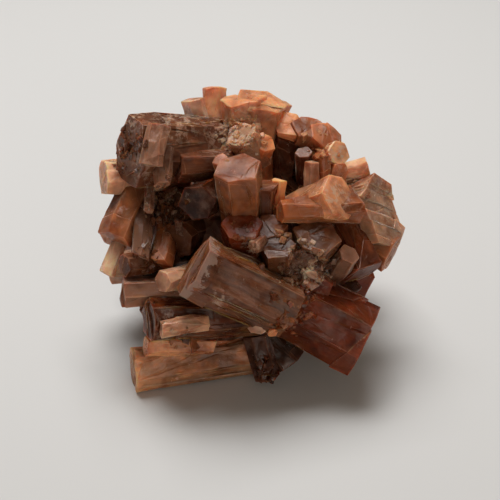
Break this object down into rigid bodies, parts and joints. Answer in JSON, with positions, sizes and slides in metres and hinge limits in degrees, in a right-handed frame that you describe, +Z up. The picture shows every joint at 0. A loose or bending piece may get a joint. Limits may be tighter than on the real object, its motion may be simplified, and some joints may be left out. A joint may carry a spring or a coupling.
{
  "type": "aragonite sputnik cluster",
  "caption": "Rough ball of stubby six-sided twin crystals grown outward from one middle, brown to orange and part see-through, resting on a few flattened crystals.",
  "frame": {"origin": "on the table, under the middle of the cluster's box", "axes": "+Z up, +X to the right and -Y toward the side with the two biggest crystals"},
  "size_m": [0.0624, 0.0564, 0.0512],
  "materials": {
    "aragonite": "waxy, striated, with pale scuffed tips"
  },
  "bodies": {
    "root": {"crystal_cluster": "aragonite"}
  },
  "joints": []
}
